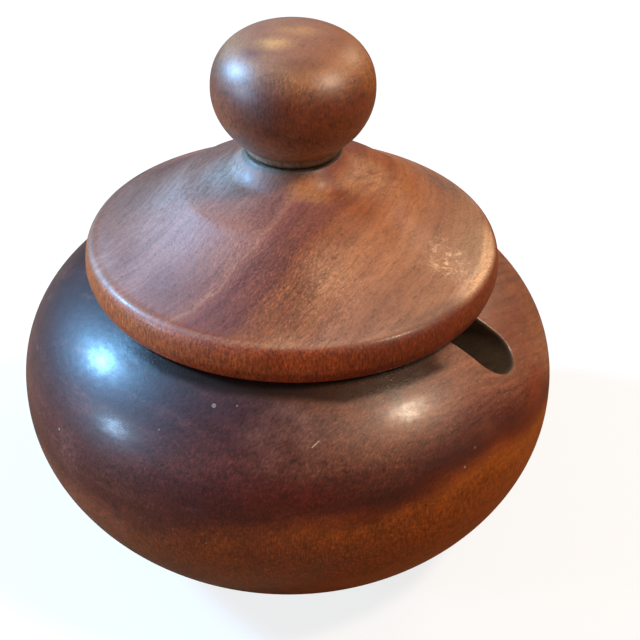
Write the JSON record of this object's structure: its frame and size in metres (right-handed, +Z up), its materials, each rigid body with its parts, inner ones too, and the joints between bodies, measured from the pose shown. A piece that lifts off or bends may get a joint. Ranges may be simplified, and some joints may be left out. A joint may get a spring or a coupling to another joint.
{
  "type": "wooden lidded pot",
  "caption": "Squat turned wooden pot with a spoon groove in its lip and a loose conical lid carrying a ball knob.",
  "frame": {"origin": "centre of the flat base", "axes": "+Z up along the turning axis, +X towards the spoon groove in the lip"},
  "size_m": [0.13, 0.13, 0.1301],
  "materials": {
    "pot_wood": "satin waxed hardwood, dark purple-brown heartwood above and orange-brown wood below",
    "lid_wood": "satin waxed hardwood, rose-brown with diagonal figure",
    "knob_wood": "satin waxed hardwood, red-brown"
  },
  "bodies": {
    "pot": {"pot_body": "pot_wood"},
    "lid": {"lid": "lid_wood", "knob": "knob_wood"}
  },
  "joints": [
    {"name": "lid_lift", "type": "slide", "parent": "pot", "child": "lid", "axis": [0, 0, 1], "range_m": [0, 0.06]}
  ]
}
